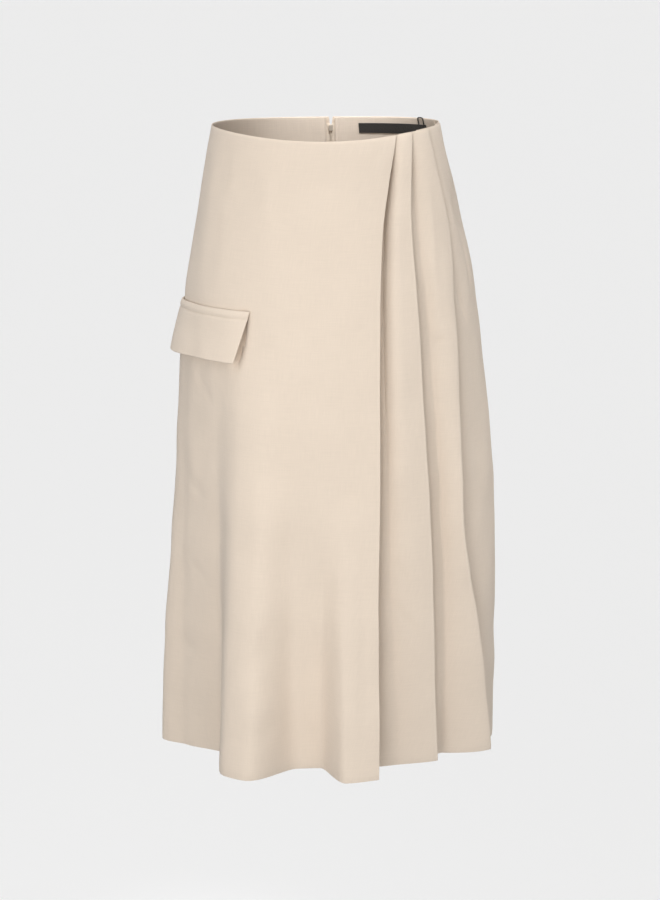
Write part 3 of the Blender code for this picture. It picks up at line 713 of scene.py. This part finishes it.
def heights_from(top, foot, count, top_share):
    """Heights of the rows, a little closer together near the top where top_share is over 0."""
    share = np.linspace(0, 1, count)
    share = blend(share, share**2, top_share)
    return blend(top, foot, share)


PANEL_ROWS, PANEL_TOP_SHARE, RIM_REACH = 150, 0.15, 1.5 * MM
FRONT_STEPS = (118, 26, 6, 5)  # smooth panel, pleated panels, half turns, hidden layers
FRONT_MIDDLE, BACK_STEPS = 70, 71  # the front's column that its weave is straight along


def build_front():
    points, edge_highlight = [], []
    for height in heights_from(0.0, HEM, PANEL_ROWS, PANEL_TOP_SHARE):
        height = float(height)
        azimuth, lift, highlight_weights = front_row(height, *FRONT_STEPS)
        lift = lift + crease_lift(azimuth, height, FLAP_GAP)
        lift = lift + seam_roll(azimuth, height, SEAM_FLAP_SIDE, SEAM_PLEAT_SIDE)
        points.append(settled(azimuth, height, lift))
        # painted highlight along the folded edges, the waist's edge and the hem
        edge_highlight.append(np.maximum(highlight_weights, near_rim(height)))
    piece = cloth_sheet("front", np.array(points), CLOTH, twill, np.array(edge_highlight), FRONT_MIDDLE)
    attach(piece, "skirt")
    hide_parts("front_panel")


LAY_GAP, ZIP_END, SEAM_HALF_GAP = 0.3 * MM, -0.185, 0.1 * MM
BACK_GAP = (  # height, half width of the centre-back opening in millimetres
    (0.0, 2.3), (-0.008, 1.3), (-0.018, 0.9), (-0.028, 0.12), (HEM, 0.1),
)


def build_back(side, where):
    seam = SEAM_FLAP_SIDE if side < 0 else FULL_TURN + SEAM_PLEAT_SIDE
    points, edge_highlight = [], []
    for height in heights_from(0.0, HEM, PANEL_ROWS, PANEL_TOP_SHARE):
        height = float(height)
        gap = float(through([g[0] for g in BACK_GAP], [g[1] for g in BACK_GAP], height)) * MM
        outer = seam - side * float(degrees_for(SEAM_HALF_GAP, seam, height))
        centre = BACK_CENTRE + side * float(degrees_for(gap, BACK_CENTRE, height))
        azimuth = blend(outer, centre, close_at_ends(BACK_STEPS))
        seams = (seam, BACK_CENTRE) if height < ZIP_END else (seam,)
        lift = fluted_lift(BACK_FLUTES, azimuth, height) + seam_roll(azimuth, height, *seams)
        points.append(settled(azimuth, height, lift))
        # painted highlight along the waist's edge and the hem
        edge_highlight.append(np.zeros(len(azimuth)) + near_rim(height))
    name = f"back_{where}"
    piece = cloth_sheet(name, np.array(points), CLOTH, twill, np.array(edge_highlight), BACK_STEPS)
    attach(piece, "skirt")
    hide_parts(f"back_panel_{where}")


TAPE_WALL, TAPE_WIDTH, TAPE_INNER_EDGE, TAPE_TOP = 1.0 * MM, 11 * MM, 1.35 * MM, -0.0085
FACING_WALL, FACING_EDGE, FACING_BOW, FACING_FOOT = 1.0 * MM, 5.5 * MM, 16 * MM, -0.045
FACING_TOP, FACING_ROWS, FACING_COLUMNS, FACING_CROWDING = -0.6 * MM, 26, 90, 1.8
BEAD_DEPTH, BEAD_REACH = 0.9 * MM, 1.1 * MM  # the facing's folded edge
DIP_DEPTH, DIP_PLACE, DIP_REACH = 0.35 * MM, 3.2 * MM, 1.3 * MM  # the row of sewing beside it
TAPE_ROWS, TAPE_COLUMNS = 60, 10
THIN_CLOTH, TAPE_CLOTH = 0.8 * MM, 0.7 * MM


def facing_lift(azimuth, height):
    flat = WALL / 2 + LAY_GAP + FACING_WALL / 2
    over_tape = flat + TAPE_WALL + LAY_GAP
    from_zip = np.abs(azimuth - BACK_CENTRE) / degrees_for(1.0, BACK_CENTRE, height)
    share = soft_step((from_zip - TAPE_WIDTH) / FACING_BOW)
    return panel_lift(azimuth, height) - blend(over_tape, flat, share)


def build_facing(side, where):
    seam = SEAM_FLAP_SIDE if side < 0 else FULL_TURN + SEAM_PLEAT_SIDE
    points = []
    for height in np.linspace(FACING_TOP, FACING_FOOT, FACING_ROWS):
        height = float(height)
        edge = float(degrees_for(FACING_EDGE, BACK_CENTRE, height))
        reach = abs(seam - BACK_CENTRE) - float(degrees_for(3 * WALL, seam, height))
        share = np.linspace(0, 1, FACING_COLUMNS) ** FACING_CROWDING
        azimuth = BACK_CENTRE + side * blend(edge, reach, share)
        from_zip = np.abs(azimuth - BACK_CENTRE) / degrees_for(1.0, BACK_CENTRE, height)
        from_fold = from_zip - FACING_EDGE
        bead = -BEAD_DEPTH * np.exp(-((from_fold / BEAD_REACH) ** 2))
        dip = DIP_DEPTH * np.exp(-(((from_fold - DIP_PLACE) / DIP_REACH) ** 2))
        points.append(settled(azimuth, height, facing_lift(azimuth, height) + bead + dip))
    name = f"waist_facing_{where}"
    piece = cloth_sheet(name, np.array(points), THIN_CLOTH, wrong_side, middle=0)
    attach(piece, "skirt")
    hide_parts(f"back_facing_{where}")


def build_tape(side, where):
    points = []
    away = np.linspace(TAPE_INNER_EDGE, TAPE_WIDTH, TAPE_COLUMNS)
    for height in np.linspace(TAPE_TOP, ZIP_END, TAPE_ROWS):
        height = float(height)
        azimuth = BACK_CENTRE + side * degrees_for(away, BACK_CENTRE, height)
        lift = panel_lift(azimuth, height) - (WALL / 2 + LAY_GAP + TAPE_WALL / 2)
        points.append(settled(azimuth, height, lift))
    piece = cloth_sheet(f"tape_{where}", np.array(points), TAPE_CLOTH, tape_weave, middle=0)
    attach(piece, "skirt")
    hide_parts(f"zip_tape_{where}")


FLAP_FRONT, FLAP_WIDTH, FLAP_TOP, FLAP_TILT, FLAP_DROP = 122.2, 165 * MM, -0.203, 9 * MM, 61 * MM
FLAP_TAPER, FLAP_STAND_OFF, FLAP_CURVE, FLAP_WALL = 6.5 * MM, 10 * MM, 0.8, 2.4 * MM
FLAP_CLOTH, FLAP_ROWS, FLAP_COLUMNS = 2.2 * MM, 50, 80
FLAP_FACE, FLAP_THREAD = 1.05 * MM, 0.3 * MM
FLAP_STITCH = 0.155  # share of the drop at which the topstitching lies
FLAP_STITCHES, STITCH_SHARE, STITCH_ENDS = 52, 0.8, (0.012, 0.988)
GROOVE_DEPTH, GROOVE_REACH = 0.75 * MM, 0.024  # a reach here is a share of the flap
ROLL_HEIGHT, ROLL_REACH = 0.7 * MM, 0.05
FLARE_FRONT, FLARE_BACK, FLARE_REACH, FLARE_CURVE = 5.0 * MM, 2.0 * MM, 0.1, 1.5
WAVE_HEIGHT, WAVE_TURNS, WAVE_SHIFT = 0.9 * MM, 1.6, 0.1


def flap_point(along, down, raised=0.0):
    """A point of the flap, from its front end to its back and from its seam to its free edge."""
    height = FLAP_TOP - FLAP_TILT * along - FLAP_DROP * down
    half = FLAP_WIDTH / 2 - FLAP_TAPER * down
    between_ends = blend(FLAP_FRONT, 180.0, 0.5)
    middle = FLAP_FRONT + float(degrees_for(FLAP_WIDTH / 2, between_ends, FLAP_TOP))
    azimuth = middle + float(degrees_for(half * (2 * along - 1), middle, height))
    touching = float(panel_lift(azimuth, height)) + WALL / 2 + LAY_GAP + FLAP_WALL / 2
    standing = FLAP_STAND_OFF + FLAP_WALL / 2
    lift = blend(touching, standing, down**FLAP_CURVE)
    groove = -GROOVE_DEPTH * math.exp(-(((down - FLAP_STITCH) / GROOVE_REACH) ** 2))
    roll = ROLL_HEIGHT * math.exp(-(((down - 0.5 * FLAP_STITCH) / ROLL_REACH) ** 2))
    front_flare = FLARE_FRONT * math.exp(-along / FLARE_REACH)
    back_flare = FLARE_BACK * math.exp(-(1 - along) / FLARE_REACH)
    flare = down**FLARE_CURVE * (front_flare + back_flare)
    wave = WAVE_HEIGHT * down * math.sin(2 * math.pi * (along * WAVE_TURNS + WAVE_SHIFT))
    outer = lift + groove + roll + flare + wave + raised
    return settled(azimuth, height, outer)


def build_flap():
    rows, columns = np.linspace(0, 1, FLAP_ROWS), np.linspace(0, 1, FLAP_COLUMNS)
    points = np.array([[flap_point(along, down) for along in columns] for down in rows])
    piece = cloth_sheet("flap", points, FLAP_CLOTH, twill, edge_round=0.45)
    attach(piece, "skirt")
    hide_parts("pocket_flap")

    starts = np.linspace(*STITCH_ENDS, FLAP_STITCHES + 1)
    runs = []
    for start, end in zip(starts, starts[1:]):
        stop = blend(start, end, STITCH_SHARE)
        runs.append([flap_point(along, FLAP_STITCH, FLAP_FACE) for along in (start, stop)])
    stitching = stitches("flap_topstitching", runs, FLAP_THREAD, thread)
    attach(stitching, "skirt")


LABEL_START, LABEL_LENGTH, LABEL_HEIGHT = 287.0, 97 * MM, 12.5 * MM
LABEL_DROP, LABEL_WALL, LABEL_CLOTH = 8 * MM, 1.0 * MM, 0.7 * MM
LABEL_ROWS, LABEL_COLUMNS = 14, 80
LABEL_INSET, LABEL_STITCHES, LABEL_STITCH, LABEL_STEP = 1.6 * MM, 6, 1.4 * MM, 1.95 * MM
LABEL_FIRST, LABEL_THREAD, LABEL_FACE = 0.8 * MM, 0.2 * MM, 0.4 * MM
LOOP_AZIMUTH, LOOP_WIDTH, LOOP_RADIUS, LOOP_RISE = 328.5, 9.2 * MM, 0.85 * MM, 0.7 * MM
LOOP_SQUARE = 0.62  # under 1, its top has squarer shoulders than a half circle
LOOP_FOOT, LOOP_KNEE, LOOP_SHOULDER, LOOP_THREAD, LOOP_STEPS = 0.92, 0.55, 0.3, 0.9, 20


def build_label():
    end = LABEL_START + float(degrees_for(LABEL_LENGTH, (LABEL_START + LOOP_AZIMUTH) / 2, 0.0))
    azimuth = np.linspace(LABEL_START, end, LABEL_COLUMNS)
    laid = FACING_WALL / 2 + LAY_GAP + LABEL_WALL / 2
    points = []
    for drop in np.linspace(LABEL_DROP, LABEL_DROP + LABEL_HEIGHT, LABEL_ROWS):
        height = -float(drop)
        points.append(settled(azimuth, height, facing_lift(azimuth, height) - laid))
    piece = cloth_sheet("label", np.array(points), LABEL_CLOTH, label_satin, edge_round=0.4)
    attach(piece, "skirt")
    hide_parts("waist_label")

    runs = []
    for inset in (LABEL_INSET, LABEL_LENGTH - LABEL_INSET):
        place = LABEL_START + (end - LABEL_START) * inset / LABEL_LENGTH
        for k in range(LABEL_STITCHES):
            top = -(LABEL_DROP + LABEL_FIRST + k * LABEL_STEP)
            lift = float(facing_lift(place, top)) - laid - LABEL_FACE
            runs.append([settled(place, top - drop, lift) for drop in (0.0, LABEL_STITCH)])
    sewing = stitches("label_stitches", runs, LABEL_THREAD, black_cord)
    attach(sewing, "skirt")


def tube(name, points, radius, material, resolution=3, cyclic=False):
    route = bpy.data.curves.new(name, "CURVE")
    route.dimensions = "3D"
    route.bevel_depth = radius
    route.bevel_resolution = resolution
    route.use_fill_caps = not cyclic
    line = route.splines.new("POLY")
    line.points.add(len(points) - 1)
    line.use_cyclic_u = cyclic
    for place, point in zip(line.points, points):
        place.co = (*point, 1)
    route.materials.append(material)
    made = bpy.data.objects.new(name, route)
    bpy.context.scene.collection.objects.link(made)
    deselect()
    made.select_set(True)
    bpy.context.view_layer.objects.active = made
    bpy.ops.object.convert(target="MESH")
    made = bpy.context.object
    made.data.shade_smooth()
    return made


def stitches(name, runs, radius, material):
    """Short threads, each from one point to the next of its run, all in one piece."""
    deselect()
    bpy.ops.mesh.primitive_uv_sphere_add(segments=8, ring_count=6, radius=1.0)
    model = named(name)
    model.data.materials.append(material)
    model.data.shade_smooth()
    copies = []
    for start, end in runs:
        start, end = Vector(start), Vector(end)
        turn = (end - start).to_track_quat("X", "Z")
        size = Vector(((end - start).length / 2 + radius * 0.4, radius, radius))
        copy = model.copy()
        copy.data = model.data.copy()
        copy.data.transform(Matrix.LocRotScale((start + end) / 2, turn, size))
        bpy.context.scene.collection.objects.link(copy)
        copies.append(copy)
    bpy.data.objects.remove(model)
    deselect()
    for copy in copies:
        copy.select_set(True)
    bpy.context.view_layer.objects.active = copies[0]
    bpy.ops.object.join()
    made = bpy.context.object
    made.name = made.data.name = name
    return made


COIL_RADIUS, COIL_PITCH, COIL_WIRE = 0.8 * MM, 1.3 * MM, 0.36 * MM
COIL_TOP, COIL_STEPS, COIL_FLATTENED, COIL_OUT = -0.010, 9, 0.75, 0.35 * MM
COIL_MESHED, COIL_APART, SLIDER_HEIGHT, SLIDER_REACH = 0.25 * MM, 1.45 * MM, -0.013, 3.5 * MM


def coil_centre(height):
    """How far each coil lies from the zip's middle: apart over the slider, meshed below it."""
    share = float(soft_step((height - SLIDER_HEIGHT) / SLIDER_REACH))
    return blend(COIL_MESHED, COIL_APART, share)


def build_coil(side, where):
    """The nylon coil along one tape, wound against that of the other tape."""
    depth = WALL / 2 + LAY_GAP + TAPE_WALL / 2
    count = int((COIL_TOP - ZIP_END) / COIL_PITCH * COIL_STEPS)
    points = []
    for i in range(count + 1):
        turn = 2 * math.pi * i / COIL_STEPS + (math.pi if side > 0 else 0.0)
        height = COIL_TOP - COIL_PITCH * i / COIL_STEPS
        away = side * (coil_centre(height) + COIL_OUT) + COIL_RADIUS * math.cos(turn)
        azimuth = BACK_CENTRE + float(degrees_for(away, BACK_CENTRE, height))
        inward = COIL_RADIUS * COIL_FLATTENED * (1 + math.sin(turn))
        lift = float(panel_lift(azimuth, height)) - depth - inward
        points.append(settled(azimuth, height, lift))
    piece = tube(f"zip_coil_{where}", points, COIL_WIRE, coil_nylon, resolution=1)
    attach(piece, "skirt")


OVERLOCK_STEP, OVERLOCK_DEPTH, OVERLOCK_THREAD = 2.2 * MM, 3.2 * MM, 0.16 * MM
OVERLOCK_FACE, OVERLOCK_BELOW, OVERLOCK_LEAN = 0.62 * MM, 0.55 * MM, 0.35


def build_overlock(side, where):
    """The thread that binds the facing's lower edge, back and forth over it."""
    seam = SEAM_FLAP_SIDE if side < 0 else FULL_TURN + SEAM_PLEAT_SIDE
    start, reach = (float(degrees_for(d, BACK_CENTRE, FACING_FOOT)) for d in (FACING_EDGE, 1.0))
    stop = abs(seam - BACK_CENTRE) - float(degrees_for(3 * WALL, seam, FACING_FOOT))
    count = int((stop - start) / reach / OVERLOCK_STEP)
    points = []
    for i in range(count + 1):
        azimuth = BACK_CENTRE + side * blend(start, stop, i / count)
        inside = -OVERLOCK_FACE
        for up, out in ((OVERLOCK_DEPTH, inside), (0.0, inside), (-OVERLOCK_BELOW, 0.0)):
            height = FACING_FOOT + up
            lift = float(facing_lift(azimuth, height)) + out
            points.append(settled(azimuth + side * (OVERLOCK_LEAN * reach * up), height, lift))
    piece = tube(f"facing_overlock_{where}", points, OVERLOCK_THREAD, thread, resolution=1)
    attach(piece, "skirt")


def build_loop():
    lift = -(WALL / 2 + LAY_GAP + FACING_WALL + LAY_GAP + LOOP_RADIUS)
    half = float(degrees_for(LOOP_WIDTH / 2, LOOP_AZIMUTH, 0.0))
    foot = -(LABEL_DROP - LAY_GAP)
    knee = foot * LOOP_KNEE
    places = [(-LOOP_FOOT, foot), (-1.0, knee)]
    for i in range(1, LOOP_STEPS):
        angle = math.pi * i / LOOP_STEPS
        c, s = math.cos(angle), math.sin(angle)
        across = -math.copysign(abs(c) ** LOOP_SQUARE, c)
        places.append((across, blend(foot * LOOP_SHOULDER, LOOP_RISE, s**LOOP_SQUARE)))
    places += [(1.0, knee), (LOOP_FOOT, foot)]
    points = [on_tube(LOOP_AZIMUTH + across * half, height, lift) for across, height in places]
    piece = tube("loop", points, LOOP_RADIUS * LOOP_THREAD, black_cord)
    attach(piece, "skirt")
    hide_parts("hanger_loop")


def dress_metal():
    for name in ("zip_slider", "zip_pull"):
        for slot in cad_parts[name].material_slots:
            slot.material = ivory_paint


# ---- the studio ----

FLOOR_HEIGHT = -1.9
FLOOR_SIZE, FLOOR_TONE, SKY_COLOUR, SKY_POWER = 120, 0.96, (1.0, 0.995, 0.99, 1), 0.24
SUNS = (  # name, azimuth and elevation from the camera's side, strength, and spread in degrees
    ("key", -6, 10, 1.45, 100),
    ("fill", 50, 8, 0.22, 70),
    ("top", 0, 86, 0.97, 30),
    ("back", 186, 42, 0.8, 70),
)
SOFTBOXES = (  # name, place, aim, side length and power
    ("softbox_front", (-0.29, -1.3, -0.16), (0.0, 0.0, -0.28), 0.5, 7.1),
    ("softbox_flap_side", (-1.3, 0.1, -0.22), (0.0, 0.0, -0.25), 0.5, 1.0),
    ("softbox_pleat_side", (1.3, 0.0, -0.32), (0.0, 0.0, -0.32), 0.5, 3.1),
)
SPOT_PLACE, SPOT_AIM = Vector((0.15, -0.75, 0.95)), Vector((0.022, 0.085, -0.008))
SPOT_SPREAD, SPOT_POWER, SPOT_SIZE = 13.0, 72.0, 0.05


def place_lamp(light, place, aim):
    lamp = bpy.data.objects.new(light.name, light)
    bpy.context.scene.collection.objects.link(lamp)
    lamp.location = place
    lamp.rotation_mode = "QUATERNION"
    lamp.rotation_quaternion = (place - aim).to_track_quat("Z", "Y")


def build_studio():
    deselect()
    bpy.ops.mesh.primitive_plane_add(size=FLOOR_SIZE, location=(0, 0, FLOOR_HEIGHT))
    floor = named("floor")
    paint = bpy.data.materials.new("pale_floor")
    paint.use_nodes = True
    shader = paint.node_tree.nodes["Principled BSDF"]
    shader.inputs["Base Color"].default_value = (FLOOR_TONE, FLOOR_TONE, FLOOR_TONE, 1)
    shader.inputs["Roughness"].default_value = 1.0
    shader.inputs["Specular IOR Level"].default_value = 0.0
    floor.data.materials.append(paint)
    floor.visible_diffuse = False

    world = bpy.data.worlds.new("studio")
    bpy.context.scene.world = world
    world.use_nodes = True
    sky = world.node_tree.nodes["Background"]
    sky.inputs["Color"].default_value = SKY_COLOUR
    sky.inputs["Strength"].default_value = SKY_POWER

    for name, azimuth, elevation, strength, angle in SUNS:
        light = bpy.data.lights.new(name, "SUN")
        light.energy = strength
        light.angle = math.radians(angle)
        turn, rise = math.radians(azimuth), math.radians(elevation)
        level = math.cos(rise)
        toward = Vector((math.sin(turn) * level, -math.cos(turn) * level, math.sin(rise)))
        place_lamp(light, toward, Vector())

    for name, place, aim, size, power in SOFTBOXES:
        light = bpy.data.lights.new(name, "AREA")
        light.shape = "SQUARE"
        light.size = size
        light.energy = power
        place_lamp(light, Vector(place), Vector(aim))

    light = bpy.data.lights.new("into_the_waist", "SPOT")
    light.spot_size = math.radians(SPOT_SPREAD)
    light.spot_blend = 1.0
    light.shadow_soft_size = SPOT_SIZE
    light.energy = SPOT_POWER
    place_lamp(light, SPOT_PLACE, SPOT_AIM)


CAMERA_PLACE = Vector((0.005, -3.326, 0.392))
CAMERA_AIM = Vector((0.005, 0.0, -0.4016))
LENS, SENSOR, CLIP = 111.36, 36.0, (0.05, 500)


def build_camera():
    data = bpy.data.cameras.new("camera")
    data.lens = LENS
    data.sensor_width = SENSOR
    data.clip_start, data.clip_end = CLIP
    camera = bpy.data.objects.new("camera", data)
    bpy.context.scene.collection.objects.link(camera)
    camera.location = CAMERA_PLACE
    camera.rotation_mode = "QUATERNION"
    camera.rotation_quaternion = (CAMERA_AIM - CAMERA_PLACE).to_track_quat("-Z", "Y")
    bpy.context.scene.camera = camera


build_camera()
build_studio()
build_front()
for side, where in ((-1, "flap_side"), (1, "pleat_side")):
    build_back(side, where)
    build_facing(side, where)
    build_tape(side, where)
    build_coil(side, where)
    build_overlock(side, where)
build_flap()
build_label()
build_loop()
dress_metal()
bpy.context.scene.view_settings.view_transform = "Standard"
